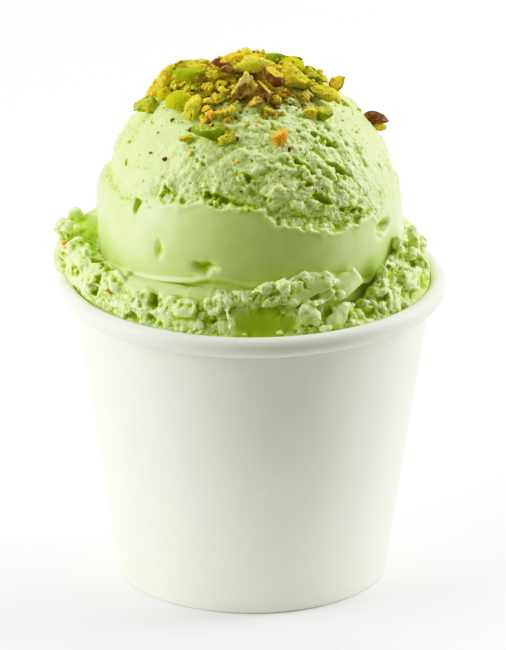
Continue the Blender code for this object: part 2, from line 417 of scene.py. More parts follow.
# Tears: azimuth, latitude, length, width and depth in mm, and how steeply the right end drops, in degrees
TEARS = [
    (43.5, 45, 7, 2, 2.2, 46), (43, 32.5, 7.4, 2.1, 2.4, 42), (26, 37, 6.2, 1.6, 1.9, 46),
    (26, 30.5, 2.8, 1.4, 1.6, 40), (31, 23.6, 5.4, 2.2, 2, 34), (45, 16.8, 6.2, 1.5, 2.1, 20),
    (42, 26, 2.2, 0.8, 0.9, 20), (46, 21.6, 2.8, 0.9, 1, 34), (71, 26, 2.2, 0.9, 1, 82),
    (-1, 34.4, 4.8, 1.4, 1.8, 14), (-13.5, 26.2, 8.6, 2, 1.9, 12), (-2.5, 23.8, 5.8, 1.5, 1.5, 4),
    (-36.4, 25.8, 4.2, 1.4, 1.3, 36), (-24, 38, 3, 1.5, 1.3, 25), (55, 40, 3.8, 0.9, 1, 88),
    (60.4, 31.8, 4, 0.9, 1, 84), (17, 30, 3, 0.9, 0.9, 36), (8, 27, 3.6, 0.9, 1, 20),
    (50, 50, 3, 0.9, 1, 60), (64, 38, 3, 0.8, 0.8, 80), (20, 20.5, 3.2, 1, 0.9, 25),
    (-40, 30, 2, 1, 0.9, 50), (12, 39, 3.4, 1, 1, 30), (33, 51, 2.6, 0.9, 0.9, 40),
    (-62, 19, 2.6, 0.7, 0.7, 70), (66, 18, 2, 0.8, 0.9, 70),
]
# Dents in the smooth band: azimuth, latitude, width, height and depth in mm
DENTS = [
    (-36.2, 3.1, 2.4, 5, 0.55), (-16.8, -0.6, 6, 3, 1.5), (-14.6, -0.4, 3, 2, 0.4),
    (61, 5.8, 6.4, 3.6, 1.5), (57.8, 4, 2.8, 3, 0.8), (-50.4, 18.4, 2.8, 1.5, 1.5),
    (-50.6, 16.8, 1.9, 2.2, 1.4), (-50.8, 15.2, 1, 2, 1.1), (-45.6, 19, 2.4, 0.7, 0.9),
    (-55.4, 19.2, 1.8, 0.6, 0.8), (-42.5, 17.6, 1.4, 0.5, 0.5),
]
# The scoop turned about this line while it tore the top
DRAG_AXIS = np.array((0.10, 0.965, 0.24)) / np.linalg.norm((0.10, 0.965, 0.24))


def random_tears(count):
    """More tears for the sides and the back, where the front's table ends."""
    rng = random.Random(41)
    tears = []
    for _ in range(count):
        azimuth, latitude = rng.uniform(78, 300), rng.uniform(20, 58)
        turn, rise = math.radians(azimuth), math.radians(latitude)
        drop = math.atan2(4 * math.sin(turn), 4 * math.sin(rise) * math.cos(turn) + math.cos(rise))
        length, depth, width = rng.uniform(2.4, 8), rng.uniform(1.0, 2.3), rng.uniform(0.9, 2.0)
        tears.append((azimuth, latitude, length, width, depth, math.degrees(drop) + rng.uniform(-12, 12)))
    return tears


ALL_TEARS = TEARS + random_tears(SIDE_TEARS)


def band_edge(azimuth):
    wobble = 1.1 * np.sin(np.radians(azimuth * 23)) * np.sin(np.radians(azimuth * 7.3 + 40))
    return around(azimuth, BAND_EDGE) + wobble


def ragged_edge(points, azimuth):
    """The band's upper edge with the crumbling that follows the surface."""
    return band_edge(azimuth) + 1.6 * swell(points, 2.4 * MM, 1, 3)


def tear_frame(azimuth, latitude, middle, height, drop):
    """Distances in mm along and across a line through a place of the ball."""
    east = np.radians((azimuth - middle + 180) % 360 - 180) * BALL_RADIUS / MM * np.cos(np.radians(height))
    north = np.radians(latitude - height) * BALL_RADIUS / MM
    turn = math.radians(drop)
    return east * math.cos(turn) - north * math.sin(turn), north * math.cos(turn) + east * math.sin(turn)


def drag_places(points):
    """The surface unrolled along the scoop's path, with the length along the path shortened."""
    offset = points - BALL
    across = offset @ DRAG_AXIS
    flat = offset - np.outer(across, DRAG_AXIS)
    up = np.array((0, 0, 1.0)) - DRAG_AXIS * DRAG_AXIS[2]
    side = np.cross(up, DRAG_AXIS)
    angle = np.arctan2(flat @ side, flat @ up)
    return np.stack((across, angle * 0.36 * BALL_RADIUS, np.linalg.norm(offset, axis=1)), axis=1)


def tear_cuts(points, azimuth, latitude):
    """Depth of the tears in mm at each point, and the raised sill and overhanging brow beside them."""
    ragged, fine = swell(points, 2.2 * MM, 1, 2), swell(points, 0.9 * MM, 2, 2)
    depth, sill, brow = np.zeros((3, len(points)))
    for middle, height, length, width, deep, drop in ALL_TEARS:
        u, v = tear_frame(azimuth, latitude, middle, height, drop)
        near = (np.abs(u) < length / 2) & (np.abs(v) < 3 * width)
        u, v = u[near] + 0.5 * fine[near], v[near] + 0.7 * ragged[near] + 0.4 * fine[near]
        taper = np.clip(1 - (2 * u / length) ** 2, 0, 1) ** 0.8
        half = np.maximum(0.46 * width * taper * (1 + 0.8 * ragged[near] + 1.0 * fine[near]), 0.05)
        cut = 0.9 * deep * np.clip(1 - (v / half) ** 2, 0, 1) ** 0.6 * ease(taper, 0, 0.5)
        depth[near] = np.maximum(depth[near], cut)
        brow[near] = np.maximum(brow[near], np.exp(-(((v - half - 0.3) / 0.5) ** 2)) * taper)
        sill[near] = np.maximum(sill[near], np.exp(-(((v + half + 0.3) / 0.45) ** 2)) * taper)
    return depth, sill, brow


def dent_depth(points, azimuth, latitude):
    depth = np.zeros(len(azimuth))
    wavy = swell(points, 2.5 * MM, 14, 2)
    for middle, height, width, tall, deep in DENTS:
        u, v = tear_frame(azimuth, latitude, middle, height, 0)
        u, v = u + 0.35 * wavy, v - 0.3 * wavy
        away = np.hypot(2 * u / width, 2 * v / tall)
        depth = np.maximum(depth, deep * (1 - ease(away, 0.1, 1.1)))
    return depth


def torn_relief(points, azimuth, above):
    """Flakes, cracks and streaks of the torn top, in mm. above is the latitude above the band's edge."""
    strength = around(azimuth, TORN)
    path = drag_places(points + swell(points, 2.2 * MM, 7, 2)[:, None] * 0.5 * MM)
    _, border, number = cells(path, 2.9 * MM, 3)
    flakes = 0.75 * (number - 0.5) - 0.5 * (1 - ease(border, 0.02, 0.12)) * (number > 0.45)
    streaks = 0.5 * np.abs(swell(path, 1.5 * MM, 5, 3)) - 0.2
    ledge = around(azimuth, LEDGE) * (1 - ease(above, 3, 13))
    return strength * (flakes + streaks) * ease(above, 0, 3) + 0.35 * swell(points, 6 * MM, 6, 2) - ledge


def ball_macro(points):
    """The ball's large forms: band, ledge, lip, tears and dents. Returns the moved points."""
    azimuth, latitude, _ = ball_places(points)
    way = (points - BALL) / np.linalg.norm(points - BALL, axis=1)[:, None]
    above = latitude - ragged_edge(points, azimuth)
    torn = ease(above, -0.4, 0.6)
    rise = torn * torn_relief(points, azimuth, above)
    rise += 0.35 * around(azimuth, TORN) * np.exp(-(((above + 1.0) / 0.9) ** 2))
    depth, sill, brow = tear_cuts(points, azimuth, latitude)
    rise += 0.4 * sill + 0.3 * brow - depth
    rise -= dent_depth(points, azimuth, latitude)
    lip = latitude - around(azimuth, LIP_EDGE)
    width = around(azimuth, LIP_WIDTH)
    rise += width * (np.exp(-((lip / 0.9) ** 2)) - 0.3 * np.exp(-(((lip + 2.6) / 1.5) ** 2)))
    rise += 1.2 * ease(-lip, 3, 9)
    rise += 0.7 * np.exp(-(((azimuth + 92) / 16) ** 2) - ((latitude - 12) / 6) ** 2)
    moved = points + way * (rise * MM)[:, None]
    moved[:, 2] += -0.5 * brow * MM - 0.35 * MM * width * np.exp(-((lip / 0.9) ** 2))
    return moved


def tear_sides():
    """Places along the sides of the tears and the band's edge, for crumbs."""
    rng = np.random.default_rng(3)
    sunk, spread = BALL_RADIUS - 0.3 * MM, BALL_RADIUS / MM
    azimuth = rng.uniform(-180, 180, BAND_CRUMBS)
    places = [on_ball(azimuth, band_edge(azimuth) + rng.normal(0.4, 1.2, BAND_CRUMBS), sunk)]
    for middle, height, length, width, _, drop in ALL_TEARS:
        count = int(1.6 * length)
        u = rng.uniform(-0.5, 0.5, count) * length
        v = np.sign(rng.uniform(-1, 1, count)) * width * 0.55 + rng.normal(0, 0.25, count)
        turn = math.radians(drop)
        east, north = u * math.cos(turn) + v * math.sin(turn), v * math.cos(turn) - u * math.sin(turn)
        azimuth = middle + np.degrees(east / spread / math.cos(math.radians(height)))
        places.append(on_ball(azimuth, height + np.degrees(north / spread), sunk))
    return np.concatenate(places)


def crumbs_at(name, places, smallest, largest, lumps, seed):
    rng = random.Random(seed)
    spots = []
    for place in places:
        size = rng.uniform(smallest, largest) * MM / 2
        sizes = [size * rng.uniform(0.7, 1.4) for _ in range(3)]
        spots.append((rng.randrange(len(lumps)), placed(place, random_way(rng), random_way(rng), sizes), {}))
    return scatter_copies(name, lumps, spots)


def torn_share(points, azimuth, latitude):
    """0 on the smooth band, 1 on the torn top."""
    return ease(latitude - ragged_edge(points, azimuth), -1.2, 1.0)


def make_ball(lumps):
    """The large forms and the crumbs beside the tears become one skin, which then gets its fine relief."""
    round_ball = {"segments": 640, "ring_count": 360, "radius": BALL_RADIUS, "location": BALL}
    ball = new_piece("gelato_ball", bpy.ops.mesh.primitive_uv_sphere_add, **round_ball)
    move_points(ball, ball_macro(points_of(ball)))
    ball = join("gelato_ball", [ball, crumbs_at("ball_crumbs", tear_sides(), 0.4, 1.0, lumps, 3)])
    apply_modifier(ball, "REMESH", mode="VOXEL", voxel_size=BALL_VOXEL)
    points = points_of(ball)
    azimuth, latitude, _ = ball_places(points)
    torn = torn_share(points, azimuth, latitude)
    strength = 0.25 + 0.75 * around(azimuth, TORN)
    rough = 0.16 * np.abs(swell(points, 0.85 * MM, 11, 2)) + 0.10 * swell(points, 1.8 * MM, 12, 2)
    rough = strength * (rough + 0.22 * crumble(points, 1.0 * MM, 16) + 0.05)
    centre, _, number = cells(points, 1.25 * MM, 4)
    pores = 0.5 * (1 - ease(centre, 0.10, 0.30)) * (number > 0.3)
    pores = pores * ease(swell(points, 5 * MM, 9, 2), 0.05, 0.4)
    gentle = 0.05 * swell(points, 3.5 * MM, 13, 2) + 0.12 * swell(points * (1, 1, 0.5), 9 * MM, 15)
    push_out(ball, torn * (rough - pores) + (1 - torn) * gentle)
    thin_to(ball, BALL_TRIANGLES)
    ball = drop_strays(ball)
    points = points_of(ball)
    azimuth, latitude, _ = ball_places(points)
    torn = torn_share(points, azimuth, latitude)
    set_mask(ball, "torn", torn * (0.45 + 0.55 * around(azimuth, TORN)))
    set_mask(ball, "hollow", hollows(ball, 20))
    # Painted shade: the tears and the deeper part of the dents turn a darker, deeper green.
    depth, _, _ = tear_cuts(points, azimuth, latitude)
    dented = np.maximum(dent_depth(points, azimuth, latitude) - 0.5, 0)
    set_mask(ball, "sunk", 0.65 * depth + 0.8 * dented)
    smooth_shade(ball)
    return ball


# The gelato that fills the cup, and its collar

# The collar's section at each azimuth: heights at four radii from the ball outwards, and the overhang, in mm
COLLAR_RADII = (29.0, 31.2, 33.2, 34.4)
COLLAR = [
    (-150, 66.5, 67.4, 66.4, 63.2, 0.4), (-122, 66.8, 68.2, 68.2, 65.6, 1),
    (-110, 66.6, 68.4, 68.6, 66.8, 1.4), (-99, 66, 66.2, 67, 66.8, 1.8), (-88, 65.6, 66.6, 67.8, 66.6, 1.9),
    (-78, 65.6, 67.2, 68.2, 66.2, 1.7), (-65, 66, 67.2, 67.2, 64.6, 1.1),
    (-50, 66.8, 66.9, 65.6, 62.8, 0.3), (-38, 67.5, 67, 65.2, 62.2, 0.1),
    (-20, 67.7, 66.9, 64.4, 61.4, -0.3), (-8, 67.6, 65.6, 62.2, 60.2, -0.8),
    (4, 67.6, 64.4, 61.2, 60, -1.2), (14, 68.4, 65.2, 61.6, 60.2, -0.8), (24, 67.2, 64.6, 61.6, 60.3, -0.6),
    (32, 61.8, 62.4, 62, 60.4, -0.4), (40, 60.6, 62.8, 62.6, 60.7, -0.3),
    (47, 62.4, 65.2, 63.6, 61.1, -0.2), (55, 66.2, 66.6, 64, 61.3, -0.3), (64, 68.4, 67.8, 65, 61.4, -0.7),
    (72, 69.8, 68.8, 64.8, 60.9, -1.3), (82, 69.4, 68.4, 64.6, 60.8, -1.5),
    (95, 68.2, 67.8, 65.4, 62, -0.2), (120, 67.2, 67.4, 65.6, 62.4, 0), (150, 66.8, 67.2, 66.4, 63, 0.3),
    (180, 67.2, 67.6, 66.4, 62, 0),
]
# Flakes on the collar: azimuth, radius, height, length, depth and tallness in mm, and, where it isn't level
# and upright, how far the right end climbs and the top leans out, in degrees
FLAKES = [
    (-93, 36, 69.2, 6.4, 5, 6.4, 0, 10), (-107, 35, 67.7, 6.2, 4.8, 5.2, 0, 10),
    (-116, 33.6, 67, 4.4, 3.4, 3.6), (-88, 36.2, 63.9, 6.4, 4.4, 7.6), (-80, 35.6, 67.6, 5.6, 3.6, 4.4, 6),
    (-85, 33.6, 67.8, 3.6, 2.6, 2), (-70, 34.8, 65.6, 5, 3.4, 4.2, 10), (-74, 32.8, 68, 4.4, 2.6, 2.4, 10),
    (-62, 34.2, 64.4, 4.6, 3, 4), (-60, 32, 67, 4.2, 2.4, 2.2), (-52, 33.4, 64.6, 5, 3, 3.6, -8),
    (-45, 33.4, 63.6, 4.2, 2.8, 3.2), (-38, 32.6, 65.6, 5.6, 2.6, 2.4, -6, 10),
    (-28, 33, 65.4, 3.6, 2.4, 2.4), (-22, 33.2, 64, 7, 3.2, 5.2, -4, -28), (-14.5, 32.3, 66.5, 3, 2.4, 2.2),
    (-10.6, 32.6, 65.4, 5.6, 3.2, 4.8, -12, -10), (-6.5, 33.9, 63, 2.2, 2, 4.4, 30),
    (3.4, 31.5, 68.4, 7.8, 2.9, 3.2, 10, 20), (10.6, 31.6, 68.9, 2.8, 2.6, 4, 0, 30),
    (-2, 32, 67.2, 3.4, 2.6, 2.8, 30, 10), (8, 31.2, 66.2, 9, 2.6, 2.6, 3, 20),
    (21, 30.8, 67.8, 12, 2.6, 6.2, 3, -28), (19.5, 30.1, 70.2, 4.2, 1.8, 2.2, 6, -20),
    (37.5, 30.9, 67.1, 16, 2.6, 5.4, 10, -24), (20, 32.2, 65.4, 6.4, 2.2, 2.2, -6, 10),
    (17.7, 33.2, 63, 5.6, 2.8, 5.6, -6, -18), (21.6, 32.7, 65.4, 2, 2.2, 2.6),
    (30, 33.4, 61.7, 8.6, 3, 5.4, 16, -32), (35.6, 32.8, 63.6, 2.6, 2.4, 3), (35, 33.8, 61.4, 2.2, 2, 2.6),
    (50, 33, 63.2, 3.8, 3, 5.8, 0, -10), (47.5, 34, 61, 2.8, 2.2, 2.6, -20),
    (54.5, 31.3, 67.4, 5, 3, 4.8, 4, -12), (64, 33.2, 63.4, 6.6, 3.4, 6, 6, -12),
    (60.5, 32.6, 65.6, 2.6, 2.6, 3), (73.5, 33.8, 66.4, 2.7, 2.8, 8.2, 0, -50),
    (76, 31.7, 69.6, 2.5, 2.8, 7.6), (88, 32.2, 66.8, 3.4, 3, 3.8), (-84, 36, 66.4, 4.6, 3.8, 3.4),
    (-85, 36.9, 62.6, 5.4, 3, 4.4), (68, 30.2, 70.6, 2.8, 2.4, 3.2), (66, 30.8, 69.4, 3, 2.4, 2.4, 30),
    (70.5, 32.4, 68, 2.6, 2.4, 3.4), (8, 34.2, 60.7, 2.2, 1.3, 1.2), (-2, 34.2, 60.4, 3.4, 1.3, 0.9),
    (24, 34.4, 60.5, 2.6, 1.4, 1.2),
]
# More flakes, which join some of those to each other, given in the same way
LAST_FLAKES = [(-92, 36.5, 67.2, 4.6, 3.6, 5.2)]
# Places where the scoop left the collar smooth: azimuth, radius, height and reach in mm
SMOOTH_SPOTS = [
    (-60, 30.2, 66.8, 2), (-52, 30.4, 67, 2.6), (-44, 30.6, 67.2, 3.2), (-36, 30.8, 67.2, 3.2),
    (-28, 31, 67.4, 3.2), (-19, 31, 67.4, 2.8), (-23, 35, 63.4, 2.6), (4, 32.4, 62, 3.4),
    (-3, 32.4, 62.4, 2.6), (11, 32.8, 61.8, 2.2), (29, 35.2, 61.8, 2.8), (-94, 38, 69.4, 2.6),
    (-108, 36.6, 67.6, 2.4), (-89, 38.2, 64.6, 2.4), (-98, 33.2, 67.8, 3), (-106, 33.4, 67.6, 3.4),
    (17, 34.8, 62.8, 1.8), (41, 33.6, 61.6, 1.8), (53, 32.8, 67, 1.8), (17, 32.2, 67.6, 2.2),
    (24, 32, 67.2, 2.6), (33, 31, 68.2, 2.4), (37, 31.4, 67.4, 2.6), (42, 31.2, 68, 2.4),
    (49, 34.6, 63.6, 1.2), (78, 33.4, 62.4, 2.4),
]
# How roughly the collar is torn: azimuth, share
COLLAR_TORN = [(-130, 0.9), (-100, 0.7), (-75, 0.6), (-45, 0.75), (-20, 1), (90, 1), (180, 1)]
# Small pits in the collar: azimuth, radius, height, width and depth in mm
PITS = [
    (-41.4, 35, 61.2, 2.8, 1.7), (-34.3, 33.8, 64.8, 2.2, 2), (-33.8, 35, 61.6, 2.4, 1.6),
    (-30, 35, 60.9, 1.9, 1.3), (-14, 34.5, 62.9, 2.3, 1.8), (-6, 33.2, 65.6, 1.4, 1.4),
    (-98, 33.2, 68.4, 3, 1.6), (-67.6, 31.8, 68.4, 1.8, 1.4), (-60, 31.2, 67.4, 1.6, 1.2),
    (-75, 36, 64.2, 1.5, 1.1), (-88.5, 37.2, 61.4, 1.4, 0.9), (-56, 34.4, 62.6, 1.3, 1),
    (-71, 35.4, 60.4, 1.6, 1.2), (58.1, 32.8, 66.9, 1.5, 1.5), (66, 35, 63.4, 1.3, 1.1),
    (61, 34.8, 61.6, 1.2, 1), (70, 34.6, 61.8, 1.3, 1), (41.4, 33.8, 62, 2, 1.2),
    (48.6, 34.2, 62.2, 1.1, 1.1), (25, 33.4, 64, 1.6, 1.6), (-68.5, 31.4, 68.2, 3, 2),
    (-63.5, 31.2, 67.6, 2.4, 1.8), (-60, 33.6, 65.4, 2, 1.4), (-71.5, 36.2, 65.2, 2.6, 1.5),
    (-60.1, 31.8, 67.2, 1.5, 1.3), (-58.7, 35.3, 63.4, 1.6, 1.2), (-9, 34.6, 63.2, 2.2, 1.4),
    (55.6, 31.6, 68.4, 1.2, 1.4), (59.8, 30.8, 70.1, 1.4, 1.2), (48.2, 34.2, 63.7, 1.5, 1.4),
    (57.6, 34, 64.8, 1.2, 1.2), (13, 34.2, 61.8, 1.6, 1.4), (7, 31.8, 68, 1.2, 0.9),
    (62, 31.4, 69.6, 1.2, 1), (82, 32.4, 68.6, 1.4, 1.1),
]
# Painted shade on the collar: a darker, deeper green in pockets and recesses, and a wide, weak darkening
# of the left side: azimuth, radius, height and reach in mm, and strength
PAINTED_SHADE_SPOTS = [
    (4, 32, 62, 4.4, 0.9), (-3, 32.2, 62.2, 3, 0.7), (11, 32.4, 61.8, 2.6, 0.8), (-98, 32.4, 67.4, 4.4, 1),
    (-91, 32.2, 67.4, 3.2, 0.8), (-72, 35.4, 65.4, 9, 0.16), (-71.5, 36, 65.2, 3, 0.5),
    (-106, 32.4, 67.2, 3.4, 0.9), (-88, 31, 67, 3, 0.5), (38, 30.2, 63.6, 3.8, 1), (29, 31, 63.2, 2.6, 0.9),
    (45, 30.4, 65.4, 2.6, 0.9), (41.4, 33, 61.8, 2.4, 0.6), (25, 33.2, 64, 1.8, 0.5),
    (-14, 33.8, 62.6, 2, 0.5), (-34, 33.2, 64.6, 1.8, 0.5), (-40, 34.6, 60.8, 2, 0.4),
    (77, 33.4, 62.4, 2.8, 0.6), (58, 32.2, 66.8, 1.3, 0.4), (-68, 31.4, 67.8, 2.8, 0.9),
    (-62, 31.2, 67.2, 2.4, 0.8), (-60, 33.4, 65.2, 1.8, 0.5), (48.2, 33.6, 63.6, 1.8, 0.5),
    (-82, 31.6, 67.2, 2.8, 0.7), (80, 33.4, 61, 2.4, 0.8),
]


def collar_section(azimuth):
    """The outline at one azimuth as (radius, height): from in the ball over the collar into the cup."""
    inner, middle, outer, edge, overhang = (
        float(around(azimuth, [(row[0], row[column]) for row in COLLAR])) for column in range(1, 6)
    )
    r1, r2, r3, r4 = COLLAR_RADII
    inside = (wall_radius(CUP_HEIGHT) - PAPER - 0.2 * MM) / MM
    return [
        (25.0, 58.0), (27.3, min(inner, 66.5) - 3), (r1, inner), (r2, middle), (r3 + overhang * 0.4, outer),
        (r4 + overhang, edge), (r4 + overhang * 0.9, edge - 0.55 * (edge - 59.6)), (inside - 0.1, 59.4),
        (inside - 0.2, 58.4), (inside - 0.9, 54.0), (inside - 1.6, 50.0),
    ]


def smooth_line(corners, count):
    """Points along a smooth curve through the corners."""
    corners = np.array(corners)
    padded = np.vstack((2 * corners[0] - corners[1], corners, 2 * corners[-1] - corners[-2]))
    spots = np.linspace(0, len(corners) - 1 - 1e-6, count)
    first = spots.astype(int)
    t = (spots - first)[:, None]
    a, b, c, d = (padded[first + i] for i in range(4))
    return 0.5 * (2 * b + (c - a) * t + (2 * a - 5 * b + 4 * c - d) * t**2 + (3 * b - a - 3 * c + d) * t**3)


def collar_sheet():
    """A grid's rows moved to the collar's section at each azimuth and closed into a ring."""
    turns, rows = 480, 56
    grid = {"x_subdivisions": turns, "y_subdivisions": rows - 1, "size": RIM_RADIUS}
    sheet = new_piece("gelato_collar", bpy.ops.mesh.primitive_grid_add, **grid)
    lines = [smooth_line(collar_section(360 * turn / turns % 360), rows) for turn in range(turns + 1)]
    places = []
    for row in range(rows):
        places += [in_cup(360 * turn / turns, *line[row]) for turn, line in enumerate(lines)]
    move_points(sheet, places)
    with editing(sheet):
        bpy.ops.mesh.remove_doubles(threshold=0.001 * MM)
        bpy.ops.mesh.select_all(action="DESELECT")
        bpy.ops.mesh.select_non_manifold(extend=False)
        bpy.ops.mesh.edge_face_add()
        bpy.ops.mesh.select_all(action="SELECT")
        bpy.ops.mesh.normals_make_consistent(inside=False)
    return sheet


def in_cup(azimuth, radius, height):
    """The point at an azimuth, with its distance from the cup's axis and its height in mm."""
    angle = math.radians(azimuth)
    return Vector((radius * math.sin(angle), -radius * math.cos(angle), height)) * MM


def collar_surface(azimuth, share):
    """A point of the collar's top at an azimuth, at a share of the way from the ball to its outer edge."""
    line = smooth_line(collar_section(azimuth % 360)[2:7], 40)
    return in_cup(azimuth, *line[int(share * 39)])


def flake_from(azimuth, radius, height, length, depth, tall, climb=0, lean=0):
    return in_cup(azimuth, radius, height), azimuth, length, depth, tall, climb, lean


def flake_spots():
    """The tables' flakes, and more of them where the tables leave the ring to chance."""
    rng = random.Random(23)
    spots = [flake_from(*row) for row in FLAKES]
    for first, last, count, longest in ((106, 248, 80, 6.0), (-92, -46, 26, 3.2), (46, 70, 14, 3.0)):
        for _ in range(count):
            azimuth = rng.uniform(first, last)
            place = collar_surface(azimuth, rng.uniform(0.15, 0.95))
            length = rng.uniform(1.8, longest)
            tall, depth = length * rng.uniform(0.5, 1.0), length * rng.uniform(0.4, 0.7)
            spots.append((place, azimuth, length, depth, tall, rng.uniform(-50, 50), rng.uniform(-40, 40)))
    for _ in range(COLLAR_GRAINS):
        azimuth = rng.uniform(0, 360)
        length = rng.uniform(0.6, 1.9)
        place = collar_surface(azimuth, rng.uniform(0.3, 0.95))
        if smooth_share(np.array([place]))[0] < 0.35:
            climb, lean = rng.uniform(-60, 60), rng.uniform(-60, 60)
            spots.append((place, azimuth, length, length * 0.7, length * 0.8, climb, lean))
    return spots + [flake_from(*row) for row in LAST_FLAKES]


def flake_mesh(lumps):
    rng = random.Random(29)
    spots = []
    for place, azimuth, length, depth, tall, climb, lean in flake_spots():
        turn, rise, tilt = math.radians(azimuth), math.radians(climb), math.radians(lean)
        east, out = Vector((math.cos(turn), math.sin(turn), 0)), Vector((math.sin(turn), -math.cos(turn), 0))
        up = Vector((0, 0, 1))
        along = east * math.cos(rise) + up * math.sin(rise)
        top = up * math.cos(tilt) + out * math.sin(tilt)
        sizes = (length * MM / 2, depth * MM / 2, tall * MM / 2)
        spots.append((rng.randrange(len(lumps)), placed(place, along, top, sizes), {}))
    return scatter_copies("collar_flakes", lumps, spots)


def near_spots(points, spots, full, none):
    """Each spot's strength, whole up to a share of its reach and gone beyond another; the most counts."""
    share = np.zeros(len(points))
    for azimuth, radius, height, reach, strength in spots:
        away = np.linalg.norm(points - np.array(in_cup(azimuth, radius, height)), axis=1) / MM
        share = np.maximum(share, strength * (1 - ease(away, full * reach, none * reach)))
    return share


def smooth_share(points):
    """1 where the scoop left the collar smooth, 0 where it tore it."""
    points = bend(points, 2.6 * MM, 34, 0.9, MM)
    return near_spots(points, [(*spot, 1) for spot in SMOOTH_SPOTS], 0.5, 1.25)


def pit_depth(points):
    return near_spots(bend(points, 1.8 * MM, 31, 0.9, MM), PITS, 0.25, 0.75)


def collar_roughness(points, evened):
    """How strongly the relief shows: not under the rim, and little where the collar is smooth."""
    shown = ease(points[:, 2], 59.5 * MM, 60.6 * MM)
    return shown, around(ball_places(points)[0], COLLAR_TORN) * (1 - evened * smooth_share(points))


def make_collar(lumps):
    """The sheet and its flakes become one skin, which gets lumps and pits first and then fine grains."""
    collar = join("gelato_collar", [collar_sheet(), flake_mesh(lumps)])
    apply_modifier(collar, "REMESH", mode="VOXEL", voxel_size=LUMPS_VOXEL)
    points = points_of(collar)
    shown, rough = collar_roughness(points, 0.93)
    lumpy = 0.42 * swell(points, 3.6 * MM, 21, 2) + 0.44 * crumble(points, 2.4 * MM, 22) + 0.12
    _, border, number = cells(points, 2.1 * MM, 25)
    cracks = 0.5 * (1 - ease(border, 0.03, 0.2)) * (number > 0.5)
    lumpy -= cracks * ease(swell(points, 4 * MM, 26), -0.1, 0.25)
    push_out(collar, shown * (rough * lumpy - pit_depth(points)))
    apply_modifier(collar, "REMESH", mode="VOXEL", voxel_size=COLLAR_VOXEL)
    points = points_of(collar)
    shown, rough = collar_roughness(points, 0.95)
    grains = 0.26 * crumble(points, 0.85 * MM, 24) + 0.22 * np.abs(swell(points, 0.6 * MM, 24, 2))
    grains = grains * (0.5 + 0.5 * ease(swell(points, 5 * MM, 27), -0.3, 0.2))
    push_out(collar, shown * rough * grains)
    thin_to(collar, COLLAR_TRIANGLES)
    collar = drop_strays(collar)
    points = points_of(collar)
    set_mask(collar, "torn", 1 - smooth_share(points))
    set_mask(collar, "hollow", 1.3 * hollows(collar, 20))
    # Painted shade: hollows, pits and the shade spots turn a darker, deeper green; ridges are spared.
    lifted = np.minimum(hollows(collar, 60), 0)
    deep = near_spots(points, PAINTED_SHADE_SPOTS, 0.35, 1.1)
    sunk = np.maximum(hollows(collar, 160), 0) * 1.5 + 0.8 * pit_depth(points) + 1.3 * deep
    set_mask(collar, "sunk", sunk + 2.0 * lifted)
    smooth_shade(collar)
    return collar


# Chopped pistachios

# The coats, as (purple, tan): skin of the kernel that shows purple or green, and lining on one cut face
PURPLE, TAN, GREEN, BARE, OLIVE, HUSK = (1, 0), (0, 1), (0, 0), (-1, 0), (0.4, 0), (1, 1)
